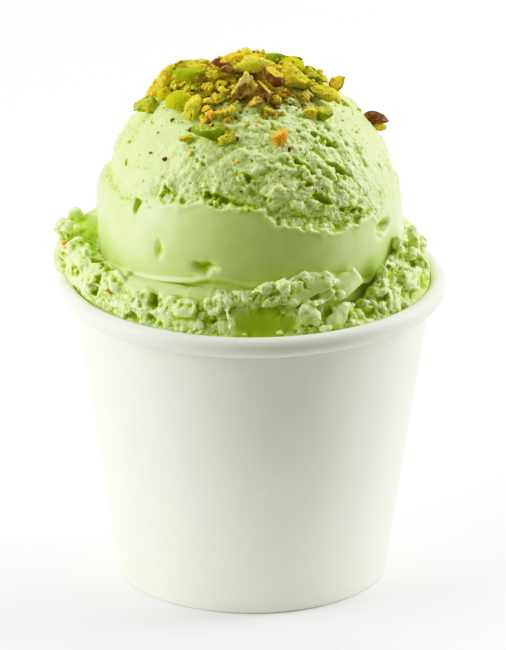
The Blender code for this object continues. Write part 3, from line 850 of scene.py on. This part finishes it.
# The larger pieces: azimuth, latitude, height above the ball, length and width in mm, the way the length
# points (turned from the right towards the back, and raised, in degrees), tone from orange over yellow to
# green, and coat
CHUNKS = [
    (-84, 49.5, 0.8, 5, 4.2, 10, -30, 0.8, OLIVE), (-96, 57, 2, 9.4, 3.9, 0, 54, 0.38, BARE),
    (-74, 58, 1.8, 4, 3, 0, 20, 0.4, TAN), (-97, 62, 0.9, 5.2, 4.4, 0, 0, 0.44, BARE),
    (-102, 68.5, 2.2, 7.4, 4.2, 0, 6, 0.54, OLIVE), (-70, 68.5, 2.6, 7.2, 3.4, -10, 0, 0.74, GREEN),
    (-57, 60, 1.6, 6.8, 4.8, 0, 10, 0.62, GREEN), (-42, 58.5, 1.9, 5.6, 3.2, 60, 40, 0.56, BARE),
    (-31, 55.5, 0.7, 1.9, 1.6, 0, 0, 0.3, BARE), (-26, 58, 1, 2.6, 2.2, 40, 20, 0.1, BARE),
    (-114, 78, 1.4, 3.6, 3, 20, 10, 0.3, PURPLE), (-170, 77, 2, 3.4, 2.8, 0, 30, 0.42, BARE),
    (178, 76, 1.4, 1.8, 1.2, 0, 70, 0.6, BARE), (165, 75, 1.8, 2.6, 1.5, 20, 66, 0.5, BARE),
    (10, 85, 2.8, 8, 4.6, -8, 6, 0.58, BARE), (-6, 71, 2.4, 6.8, 4.8, 70, 44, 0.5, TAN),
    (30, 74.5, 2.5, 5.2, 3.6, -40, -20, 0.3, PURPLE), (14, 69, 1.9, 4.8, 2.8, -45, -20, 0.34, HUSK),
    (5, 64.5, 1.4, 3.2, 2.4, 0, 0, 0.28, HUSK), (-62, 79, 2.4, 4.4, 3.2, 0, 10, 0.4, PURPLE),
    (127, 79, 1.8, 3.8, 2.8, -10, 0, 0.95, GREEN), (24, 66, 1, 2.2, 1.9, 30, 0, 0.4, BARE),
    (14, 61, 0.8, 2.1, 1.6, 20, 0, 0.46, BARE), (-29, 70, 1.4, 2.2, 1.9, 60, 20, 0.44, BARE),
    (-46, 69, 1.6, 2.2, 1.9, 30, 10, 0.48, BARE), (-33, 63.5, 1.1, 3.2, 2, 0, 0, 0.46, BARE),
    (-13, 61, 1, 2.4, 1.9, 50, 20, 0.48, BARE), (-20, 59, 1, 2.8, 2.2, 60, 10, 0.36, BARE),
    (-24, 49.5, 0.9, 6.6, 4.8, 0, 6, 0.94, GREEN), (-13, 48, 0.9, 4, 3.4, -20, 0, 0.82, OLIVE),
    (-36, 46, 0.6, 2.8, 2.4, 40, 20, 0.56, BARE), (-14, 47, 1.6, 2.2, 2, 0, 0, 0.46, BARE),
    (60, 71, 2.2, 8, 4.8, -20, -22, 0.5, BARE), (116, 72, 1.8, 1.9, 1.3, 0, 20, 0.5, BARE),
    (96, 67, 1.4, 3.8, 2.6, -30, -20, 0.78, PURPLE), (67, 60.5, 1.6, 7.4, 4.4, -20, -30, 0.48, BARE),
    (97, 58, 1.4, 4.4, 3.2, 10, 60, 0.4, HUSK), (45, 57, 0.8, 3.4, 2.6, 60, 20, 0.36, BARE),
    (53, 55, 0.8, 4, 3, -20, 30, 0.84, GREEN), (99, 36.6, 1.1, 5.2, 3.8, 0, -20, 0.24, PURPLE),
    (16, 49, 0.4, 4.6, 2.8, 20, 50, 0.06, BARE), (86, 51, 0.3, 1.1, 0.9, 0, 0, 0.66, BARE),
    (-60, 75, 1.2, 3.4, 2.6, 30, 0, 0.6, BARE), (50, 64, 1, 2.4, 2, 10, 0, 0.5, BARE),
    (-44, 76, 2.6, 3.8, 3, 50, 20, 0.4, HUSK), (75, 80, 1.2, 3.6, 2.8, 70, 0, 0.4, BARE),
    (98, 34.4, 0.9, 3.4, 2.4, 0, -25, 0.26, BARE),
]
# Smaller pieces that close the gaps between those in front, given in the same way
FILLERS = [
    (-67, 64.8, 0.9, 3.6, 2.8, 20, 10, 0.5, OLIVE), (-57, 63.5, 0.7, 3, 2.4, 50, 0, 0.6, GREEN),
    (-54, 74.5, 2.3, 3.4, 2.6, 40, 10, 0.3, PURPLE), (-41, 61.5, 0.8, 3, 2.2, 10, 10, 0.46, BARE),
    (-30, 65, 0.9, 3, 2.2, 0, 0, 0.44, BARE), (-33, 60, 0.8, 2.8, 2.2, 60, 10, 0.3, BARE),
    (-38, 73, 1.1, 2.8, 2.2, 30, 0, 0.5, OLIVE),
]
# Lone specks further down: azimuth, latitude, size in mm, tone, and coat
SPECKS = [
    (-44, 37, 1, 0.2, PURPLE), (-54, 37, 0.8, 0.2, PURPLE), (-55, 52, 0.9, 0.2, PURPLE),
    (20.5, 44, 1.1, 0.1, PURPLE), (-4, 29, 0.7, 0.1, PURPLE), (29, 27, 0.6, 0.1, PURPLE),
    (-68, 29, 1.1, 0.6, GREEN), (-74, 36, 1, 0.7, GREEN), (-24, 27, 0.5, 0.1, BARE),
    (-6, 40, 1.1, 0.2, BARE), (-8, 35, 0.5, 0.4, BARE), (-30, 41, 1.2, 0.14, BARE),
    (70, 42, 0.8, 0.1, BARE), (67, 49, 0.6, 0.1, PURPLE), (-33, 49, 1, 0.1, PURPLE),
    (-22, 52, 0.8, 0.1, PURPLE), (-11, 51.5, 1.3, 0.1, BARE), (-8, 50, 1.2, 0.1, PURPLE),
    (21, 63, 1.1, 0.1, PURPLE), (98, 44, 0.7, 0.5, BARE), (-78, 45, 0.9, 0.6, BARE),
    (-58, 45, 0.8, 0.7, GREEN), (-40, 55, 0.9, 0.5, BARE), (58, 46, 0.7, 0.5, BARE),
]
# Slivers stuck to the collar: azimuth, radius and height to aim at, length and width in mm, and tone
COLLAR_SLIVERS = [
    (-79.5, 36.4, 69.2, 1.9, 0.8, 0), (-80, 36.4, 68, 1.1, 1, 0.62), (-55, 34, 64, 1.3, 1.1, 0.02),
]
# How far from the ball's top the crumbs lie, in degrees
HEAP_REACH = 38


def nut_chunk(number, rng):
    """A piece chopped off a kernel, 2 across: flat cut faces, and some of the kernel's round skin."""
    chunk, faces = broken_lump(f"chunk_{number}", 3 if number < ROUND_SHAPES else rng.randint(6, 8), rng)
    points = points_of(chunk)
    low, high = points.min(0), points.max(0)
    middle, half = (low + high) / 2, (high - low) / 2
    apply_modifier(chunk, "REMESH", mode="VOXEL", voxel_size=NUT_VOXEL)
    points, normals = points_of(chunk), normals_of(chunk)
    skin = ease(np.linalg.norm(points, axis=1), 0.90, 0.96)
    inner = np.zeros(len(points))
    for way, away in faces[1:3]:
        inner = np.maximum(inner, ease(points @ way, away - 0.05, away - 0.01))
    rough = 0.12 * swell(points, 0.5, number, 3) * (1 - 0.7 * skin)
    rough += 0.09 * crumble(points, 0.3, number) * (1 - skin)
    move_points(chunk, (points + normals * rough[:, None] - middle) / half)
    set_mask(chunk, "skin", skin)
    set_mask(chunk, "inner", inner)
    thin_to(chunk, NUT_TRIANGLES)
    return chunk


def nut_masks(tone, coat, **others):
    purple, tan = coat
    return {"tone": tone, "purple": max(purple, 0), "coated": float(purple >= 0), "tan": tan, **others}


def chunk_spot(rng, azimuth, latitude, lift, length, width, heading, climb, tone, coat):
    place = Vector(on_ball(azimuth, latitude, BALL_RADIUS + lift * MM))
    turn, rise = math.radians(heading), math.radians(climb)
    out = (place - Vector(BALL)).normalized()
    along = Vector((math.cos(turn) * math.cos(rise), math.sin(turn) * math.cos(rise), math.sin(rise)))
    up = (out + 0.4 * random_way(rng)).normalized()
    thick = min(width, length) * rng.uniform(0.66, 0.85)
    whole = (coat is GREEN and length > 3) or (coat is PURPLE and length > 4.5)
    shape = rng.randrange(ROUND_SHAPES) if whole else rng.randrange(ROUND_SHAPES, NUT_SHAPES)
    sizes = (length * MM / 2, width * MM / 2, thick * MM / 2)
    return shape, placed(place, along, up, sizes), nut_masks(tone, coat)


def chunk_spots():
    """The table's pieces, others at the back, under and between them, and the fillers."""
    rng = random.Random(5)
    spots = [chunk_spot(rng, *row) for row in CHUNKS]
    for _ in range(BACK_CHUNKS):
        azimuth, latitude = rng.uniform(100, 262), 90 - 36 * math.sqrt(rng.uniform(0.05, 1))
        length, lift = rng.uniform(2.0, 5.6), rng.uniform(0.5, 1.6)
        coat = rng.choice((PURPLE, TAN, GREEN, BARE, BARE))
        tone = rng.uniform(0.75, 1) if coat is GREEN else rng.uniform(0.28, 0.66)
        heading, width = rng.uniform(0, 180), length * rng.uniform(0.5, 0.8)
        spots.append(chunk_spot(rng, azimuth, latitude, lift, length, width, heading, 0, tone, coat))
    for _ in range(LOW_CHUNKS):
        azimuth, latitude = rng.uniform(0, 360), 90 - 30 * math.sqrt(rng.uniform(0, 1))
        length, lift = rng.uniform(1.4, 2.8), rng.uniform(0.2, 1.1)
        coat = rng.choice((PURPLE, HUSK, TAN, OLIVE, BARE, BARE))
        heading, tone = rng.uniform(0, 180), rng.uniform(0.3, 0.7)
        spots.append(chunk_spot(rng, azimuth, latitude, lift, length, length * 0.75, heading, 10, tone, coat))
    return spots + [chunk_spot(rng, *row) for row in FILLERS]


def set_heap_shade(obj):
    """Marks what lies deep in the heap, where little light comes, to be painted in shade."""
    _, latitude, distance = ball_places(points_of(obj))
    height = (distance - BALL_RADIUS) / MM
    set_mask(obj, "heap_shade", (1 - ease(height, -0.2, 1.6)) * ease(latitude, 56, 62))


def heap_core():
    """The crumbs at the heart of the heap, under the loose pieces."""
    round_cap = {"segments": 200, "ring_count": 160, "radius": BALL_RADIUS, "location": BALL}
    core = new_piece("nut_core", bpy.ops.mesh.primitive_uv_sphere_add, **round_cap)
    bottom = BALL[2] + BALL_RADIUS * math.sin(math.radians(56))
    with editing(core):
        bpy.ops.mesh.bisect(plane_co=(0, 0, bottom), plane_no=(0, 0, -1), use_fill=False, clear_outer=True)
    points = points_of(core)
    _, latitude, _ = ball_places(points)
    way = (points - BALL) / BALL_RADIUS
    centre, _, number = cells(points, 1.7 * MM, 8)
    reach = 27 + 3 * swell(points, 6 * MM, 9)
    rise = 1.1 * ease(reach - (90 - latitude), 0, 6) * (0.75 + 0.6 * (number - 0.5)) - 0.5 * centre - 0.2
    rise += 0.5 * crumble(points, 1.1 * MM, 18)
    move_points(core, points + way * rise[:, None] * MM)
    apply_modifier(core, "SOLIDIFY", thickness=1.2 * MM, offset=-1)
    set_mask(core, "tone", np.full(len(core.data.vertices), 0.38))
    for name in ("skin", "inner", "purple", "coated", "tan"):
        set_mask(core, name, np.zeros(len(core.data.vertices)))
    return core


def surface_under(tree, azimuth, latitude):
    """Where a crumb dropped towards the ball's centre comes to lie."""
    start = Vector(on_ball(azimuth, latitude, BALL_RADIUS + 9 * MM))
    hit, _, _, _ = tree.ray_cast(start, (Vector(BALL) - start).normalized(), 14 * MM)
    return hit or Vector(on_ball(azimuth, latitude))


def sliver_spots(collar_tree):
    """Slivers on the collar, where a line from outside, slanting down to the aimed place, meets it."""
    spots = []
    along, way = Vector((0.9, 0.1, 0.35)), Vector((0, 0.936, -0.352))
    for number, (azimuth, radius, height, length, width, tone) in enumerate(COLLAR_SLIVERS):
        aim = in_cup(azimuth, radius, height)
        hit, normal, _, _ = collar_tree.ray_cast(aim - way * 0.05, way, 0.08)
        sizes = [side * MM / 2 for side in (length, width, 0.6)]
        turned = placed(hit or aim, along, normal or -way, sizes)
        spots.append((number, turned, nut_masks(tone, BARE, skin=0)))
    return spots


def crumb_spots(tree):
    """The table's specks, the crumbs of the heap, and finer ones further down."""
    rng = random.Random(17)
    spots = []

    def add(place, size, tone, coat):
        sizes = [size * MM / 2 * rng.uniform(0.7, 1.3) for _ in range(3)]
        skin = float(coat is PURPLE)
        shape, turned = rng.randrange(NUT_SHAPES), placed(place, random_way(rng), random_way(rng), sizes)
        spots.append((shape, turned, nut_masks(tone, coat, coated=skin, skin=skin)))

    for azimuth, latitude, size, tone, coat in SPECKS:
        add(surface_under(tree, azimuth, latitude), size, tone, coat)
    for _ in range(HEAP_CRUMBS):
        polar = HEAP_REACH * rng.random() ** 0.5 * rng.uniform(0.7, 1)
        azimuth = rng.uniform(0, 360)
        size = rng.uniform(0.3, 0.9) if rng.random() < 0.8 else rng.uniform(0.9, 1.5)
        coat = PURPLE if rng.random() < 0.12 else BARE
        place, tone = surface_under(tree, azimuth, 90 - polar), rng.uniform(0.22, 0.6)
        raised = (place - Vector(BALL)).length - BALL_RADIUS
        if raised < 1.7 * MM or rng.random() < 0.12:
            add(place, size, tone, coat)
    for _ in range(FAR_CRUMBS):
        polar, azimuth = rng.uniform(30, 62), rng.uniform(0, 360)
        tone = rng.choice((0.3, 0.5, 0.66, 0.15))
        add(surface_under(tree, azimuth, 90 - polar), rng.uniform(0.18, 0.42), tone, BARE)
    return spots


def tree_of(pieces):
    points, faces = [], []
    for piece in pieces:
        faces += [tuple(i + len(points) for i in face.vertices) for face in piece.data.polygons]
        points += points_of(piece).tolist()
    return BVHTree.FromPolygons(points, faces)


def make_nuts(ball, collar):
    rng = random.Random(5)
    shapes = [nut_chunk(number, rng) for number in range(NUT_SHAPES)]
    chunks = scatter_copies("nut_chunks", shapes, chunk_spots())
    core = heap_core()
    for shape in shapes:
        thin_to(shape, CRUMB_TRIANGLES)
    spots = crumb_spots(tree_of([ball, chunks, core])) + sliver_spots(tree_of([collar]))
    crumbs = scatter_copies("nut_crumbs", shapes, spots)
    for shape in shapes:
        bpy.data.objects.remove(shape)
    for piece in (chunks, crumbs, core):
        set_heap_shade(piece)
        smooth_shade(piece)
    return chunks, crumbs, core


# Materials


def new_material(name, roughness, **sockets):
    material = bpy.data.materials.new(name)
    material.use_nodes = True
    shader = material.node_tree.nodes["Principled BSDF"]
    shader.inputs["Roughness"].default_value = roughness
    for socket, value in sockets.items():
        shader.inputs[socket.replace("_", " ")].default_value = value
    return material, shader


def add_node(tree, kind, inputs=(), **settings):
    """Adds a node to a material's tree, sets its settings, and gives its inputs values or links."""
    node = tree.nodes.new(kind)
    for setting, value in settings.items():
        setattr(node, setting, value)
    for socket, value in dict(inputs).items():
        if isinstance(value, bpy.types.NodeSocket):
            tree.links.new(value, node.inputs[socket])
        else:
            node.inputs[socket].default_value = value
    return node


def mask_of(tree, name):
    return add_node(tree, "ShaderNodeAttribute", attribute_name=name).outputs["Fac"]


def noise_of(tree, scale, detail, roughness, stretch=(1, 1, 1)):
    """Noise on the object's own coordinates. scale is in lumps a metre."""
    place = add_node(tree, "ShaderNodeTexCoord").outputs["Object"]
    place = add_node(tree, "ShaderNodeMapping", {"Vector": place, "Scale": stretch}).outputs["Vector"]
    noise_inputs = {"Vector": place, "Scale": scale, "Detail": detail, "Roughness": roughness}
    return add_node(tree, "ShaderNodeTexNoise", noise_inputs).outputs["Fac"]


def ramp_of(tree, value, stops):
    """A colour ramp from (position, colour) stops."""
    node = add_node(tree, "ShaderNodeValToRGB", {"Fac": value})
    elements = node.color_ramp.elements
    while len(elements) < len(stops):
        elements.new(1.0)
    for element, (position, colour) in zip(elements, stops):
        element.position = position
        element.color = (*colour, 1)
    return node.outputs["Color"]


def mix_colours(tree, share, first, second):
    return add_node(tree, "ShaderNodeMix", {0: share, 6: first, 7: second}, data_type="RGBA").outputs[2]


def map_range(tree, value, low, high, to_low=0.0, to_high=1.0):
    inputs = {"Value": value, "From Min": low, "From Max": high, "To Min": to_low, "To Max": to_high}
    return add_node(tree, "ShaderNodeMapRange", inputs).outputs["Result"]


def calculate(tree, operation, first, second):
    return add_node(tree, "ShaderNodeMath", {0: first, 1: second}, operation=operation).outputs["Value"]


def relief_of(tree, height, strength, distance):
    """A normal that makes the surface look uneven by that height."""
    inputs = {"Strength": strength, "Distance": distance, "Height": height}
    return add_node(tree, "ShaderNodeBump", inputs).outputs["Normal"]


def feed(node, **outputs):
    """Links outputs to the node's inputs of those names."""
    for socket, output in outputs.items():
        node.id_data.links.new(output, node.inputs[socket.replace("_", " ")])


def grain_group():
    """Fine uneven grains: a height for the relief, and a share for speckled colour."""
    group = bpy.data.node_groups.new("fine_grains", "ShaderNodeTree")
    for name, side in (("Scale", "INPUT"), ("Height", "OUTPUT"), ("Speckle", "OUTPUT")):
        group.interface.new_socket(name, in_out=side, socket_type="NodeSocketFloat")
    start = group.nodes.new("NodeGroupInput")
    end = group.nodes.new("NodeGroupOutput")
    place = add_node(group, "ShaderNodeTexCoord").outputs["Object"]
    soft = {"Vector": place, "Scale": start.outputs["Scale"], "Detail": 3.0, "Roughness": 0.6}
    lumps = add_node(group, "ShaderNodeTexNoise", soft).outputs["Fac"]
    grains = add_node(group, "ShaderNodeTexVoronoi", {"Vector": place, "Scale": start.outputs["Scale"]})
    round_tops = calculate(group, "MULTIPLY", grains.outputs["Distance"], 0.6)
    height = calculate(group, "SUBTRACT", lumps, round_tops)
    feed(end, Height=height, Speckle=map_range(group, lumps, 0.36, 0.64))
    return group


def use_grains(tree, group, scale):
    """The group's height and speckle, with that many grains a metre."""
    node = tree.nodes.new("ShaderNodeGroup")
    node.node_tree = group
    node.inputs["Scale"].default_value = scale
    return node.outputs["Height"], node.outputs["Speckle"]


def make_paper(grains):
    paper, shader = new_material("coated_paper", 0.45, Specular_IOR_Level=0.4)
    tree = paper.node_tree
    fibre = noise_of(tree, 900, 4, 0.6, (1, 1, 0.22))
    cloud = map_range(tree, noise_of(tree, 60, 2, 0.5), 0.3, 0.7)
    tint = ramp_of(tree, cloud, [(0, (0.825, 0.845, 0.67)), (1, (0.865, 0.885, 0.71))])
    colour = mix_colours(tree, map_range(tree, fibre, 0.35, 0.7, 0, 0.3), tint, (0.79, 0.81, 0.635, 1))
    tooth, _ = use_grains(tree, grains, 1600)
    height = calculate(tree, "ADD", fibre, calculate(tree, "MULTIPLY", tooth, 0.5))
    feed(shader, Base_Color=colour, Normal=relief_of(tree, height, 0.3, 0.12 * MM))
    return paper


def make_gelato_material(grains):
    gelato, shader = new_material(
        "pistachio_gelato",
        0.5,
        Subsurface_Weight=0.55,
        Subsurface_Radius=(1.0, 1.2, 0.3),
        Subsurface_Scale=0.9 * MM,
        Specular_IOR_Level=0.4,
        Coat_IOR=1.8,
        Coat_Roughness=0.6,
    )
    tree = gelato.node_tree
    hollow, torn, sunk = (mask_of(tree, name) for name in ("hollow", "torn", "sunk"))
    grain, speckle = use_grains(tree, grains, 2600)
    cloud = map_range(tree, noise_of(tree, 260, 3, 0.55), 0.35, 0.65)
    band = ramp_of(tree, cloud, [(0, (0.53, 0.69, 0.17)), (1, (0.58, 0.73, 0.21))])
    body = ramp_of(tree, cloud, [(0, (0.59, 0.77, 0.20)), (1, (0.67, 0.83, 0.27))])
    crest = mix_colours(tree, map_range(tree, hollow, -0.02, -0.22), body, (0.78, 0.90, 0.37, 1))
    crest = mix_colours(tree, map_range(tree, speckle, 0, 1, 0, 0.4), crest, (0.82, 0.91, 0.48, 1))
    surface = mix_colours(tree, torn, band, crest)
    # Painted shade: small hollows and the sunk places are mixed towards a darker, deeper green.
    dent = calculate(tree, "MULTIPLY", map_range(tree, hollow, 0.01, 0.25), 0.8)
    depth = calculate(tree, "MAXIMUM", dent, map_range(tree, sunk, 0.1, 1.4))
    stops = [(0, (0.50, 0.69, 0.13)), (0.45, (0.43, 0.61, 0.015)), (1, (0.33, 0.49, 0.002))]
    colour = mix_colours(tree, map_range(tree, depth, 0, 0.4), surface, ramp_of(tree, depth, stops))
    sheen, dulled = map_range(tree, torn, 0, 1, 1.0, 0.6), calculate(tree, "MULTIPLY", depth, 1.2)
    normal = relief_of(tree, grain, map_range(tree, torn, 0, 1, 0.06, 0.8), 0.24 * MM)
    feed(shader, Base_Color=colour, Roughness=map_range(tree, torn, 0, 1, 0.34, 0.5), Normal=normal)
    feed(shader, Coat_Weight=calculate(tree, "SUBTRACT", sheen, dulled))
    return gelato


# A nut's colours as (place on the ramp, colour)
FLESH = [
    (0, (0.82, 0.22, 0.004)), (0.15, (0.82, 0.36, 0.004)), (0.32, (0.80, 0.52, 0.005)),
    (0.5, (0.70, 0.58, 0.005)), (0.75, (0.45, 0.50, 0.005)), (1, (0.18, 0.29, 0.005)),
]
GREEN_SKIN = [(0.4, (0.60, 0.56, 0.004)), (0.7, (0.42, 0.47, 0.004)), (1, (0.16, 0.26, 0.004))]
PURPLE_SKIN = [(0.35, (0.06, 0.015, 0.018)), (0.55, (0.20, 0.06, 0.03)), (0.7, (0.36, 0.18, 0.07))]


def make_nut_material(grains):
    nut, shader = new_material(
        "pistachio_nut",
        0.55,
        Subsurface_Weight=0.12,
        Subsurface_Radius=(1.0, 0.9, 0.1),
        Subsurface_Scale=0.6 * MM,
        Specular_IOR_Level=0.12,
    )
    tree = nut.node_tree
    skin, inner, tone, purple, coated, tan, heap_shade = (
        mask_of(tree, name) for name in ("skin", "inner", "tone", "purple", "coated", "tan", "heap_shade")
    )
    grain, speckle = use_grains(tree, grains, 2400)
    mottle = noise_of(tree, 900, 3, 0.6)
    drift = map_range(tree, noise_of(tree, 420, 3, 0.6), 0.3, 0.7, -0.16, 0.16)
    shade = calculate(tree, "ADD", tone, drift)
    # Pale speckle on the cut flesh: partly the grains' own paler colour, partly painted glints on them.
    flesh = mix_colours(
        tree, map_range(tree, speckle, 0.3, 1, 0, 0.6), ramp_of(tree, shade, FLESH), (0.92, 0.86, 0.30, 1)
    )
    coat = mix_colours(tree, purple, ramp_of(tree, shade, GREEN_SKIN), ramp_of(tree, mottle, PURPLE_SKIN))
    skinned = mix_colours(tree, calculate(tree, "MULTIPLY", skin, coated), flesh, coat)
    lining = ramp_of(tree, mottle, [(0.35, (0.34, 0.17, 0.05)), (0.65, (0.56, 0.40, 0.16))])
    whole = mix_colours(tree, calculate(tree, "MULTIPLY", inner, tan), skinned, lining)
    # Painted shade: what lies deep in the heap is darkened towards brown.
    shaded = mix_colours(tree, map_range(tree, heap_shade, 0, 1, 0, 0.8), whole, (0.12, 0.06, 0.004, 1))
    feed(shader, Base_Color=shaded, Normal=relief_of(tree, grain, 0.9, 0.2 * MM))
    return nut


# Studio


def make_floor():
    """A pale table top that ends a little in front of the cup."""
    width, depth, place = 1.6, 3, (0, 1.42, -0.02 * MM)
    floor = new_piece("studio_floor", bpy.ops.mesh.primitive_plane_add, size=depth, location=place)
    move_points(floor, points_of(floor) * (width / depth, 1, 1))
    material, shader = new_material("white_sweep", 0.9)
    shader.inputs["Base Color"].default_value = (0.97, 0.97, 0.97, 1)
    floor.data.materials.append(material)


def add_softbox(name, place, size, power, target=(0, 0, 0.06)):
    light = bpy.data.lights.new(name, "AREA")
    light.shape = "RECTANGLE"
    light.size, light.size_y = size
    light.energy = power
    lamp = bpy.data.objects.new(name, light)
    bpy.context.scene.collection.objects.link(lamp)
    lamp.location = place
    lamp.rotation_euler = (Vector(target) - Vector(place)).to_track_quat("-Z", "Y").to_euler()


def light_studio():
    """A tall softbox at each side, a wide one above and behind, and a small low one for the gloss."""
    world = bpy.data.worlds.new("studio_air")
    bpy.context.scene.world = world
    world.use_nodes = True
    background = world.node_tree.nodes["Background"]
    background.inputs["Color"].default_value = (1, 1, 1, 1)
    background.inputs["Strength"].default_value = 0.30
    add_softbox("key_left", (-0.54, -0.115, 0.27), (0.40, 0.48), 3.35)
    add_softbox("low_left", (-0.3, -0.02, 0.03), (0.10, 0.05), 0.06)
    add_softbox("fill_right", (0.85, 0.25, 0.45), (0.5, 0.72), 8.5)
    add_softbox("overhead", (0.0, 0.50, 0.92), (1.4, 0.8), 9.0, (0, 0.2, 0))


def place_camera():
    """A long lens, a little above the rim, looking down at the cup."""
    elevation, distance = math.radians(20.58), 1.7812
    aim = Vector((0.16 * MM, 0, 49.7 * MM))
    data = bpy.data.cameras.new("camera")
    data.lens = 510
    data.sensor_width = 36
    data.clip_end = 30
    camera = bpy.data.objects.new("camera", data)
    bpy.context.scene.collection.objects.link(camera)
    camera.location = aim + Vector((0, -math.cos(elevation), math.sin(elevation))) * distance
    camera.rotation_euler = (math.pi / 2 - elevation, 0, 0)
    bpy.context.scene.camera = camera


# The film's curves for all colours together and for blue, as (light that comes in, light that it shows)
TONE_CURVE = [(0.1707, 0.255), (0.3333, 0.49), (0.5333, 0.73), (0.8, 0.925)]
BLUE_CURVE = [
    (0.01, 0.0035), (0.0382, 0.018), (0.112, 0.098), (0.2232, 0.228), (0.4621, 0.492), (0.61, 0.63),
]


def set_exposure():
    """Keeps the middle tones and lets the brightest ones roll off to white."""
    view = bpy.context.scene.view_settings
    view.view_transform = "Standard"
    view.use_curve_mapping = True
    mapping = view.curve_mapping
    mapping.white_level = (1.5, 1.5, 1.5)
    for curve, places in ((mapping.curves[3], TONE_CURVE), (mapping.curves[2], BLUE_CURVE)):
        for place in places:
            curve.points.new(*place)
    mapping.update()


def wear(piece, material):
    piece.data.materials.clear()
    piece.data.materials.append(material)


def finish_piece(piece, material, node):
    wear(piece, material)
    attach(piece, "root")
    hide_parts(node)


def build():
    place_camera()
    set_exposure()
    light_studio()
    make_floor()
    grains = grain_group()
    paper, gelato, nut = make_paper(grains), make_gelato_material(grains), make_nut_material(grains)
    wear(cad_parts["cup_floor"], paper)
    finish_piece(make_cup(), paper, "cup_wall")
    rng = random.Random(9)
    lumps = [broken_lump(f"lump_{number}", 6, rng)[0] for number in range(LUMP_SHAPES)]
    for lump in lumps:
        thin_to(lump, LUMP_TRIANGLES)
    ball = make_ball(lumps)
    finish_piece(ball, gelato, "gelato_scoop")
    collar = make_collar(lumps)
    finish_piece(collar, gelato, "gelato_bed")
    for lump in lumps:
        bpy.data.objects.remove(lump)
    for piece in make_nuts(ball, collar):
        finish_piece(piece, nut, "pistachio_heap")


build()
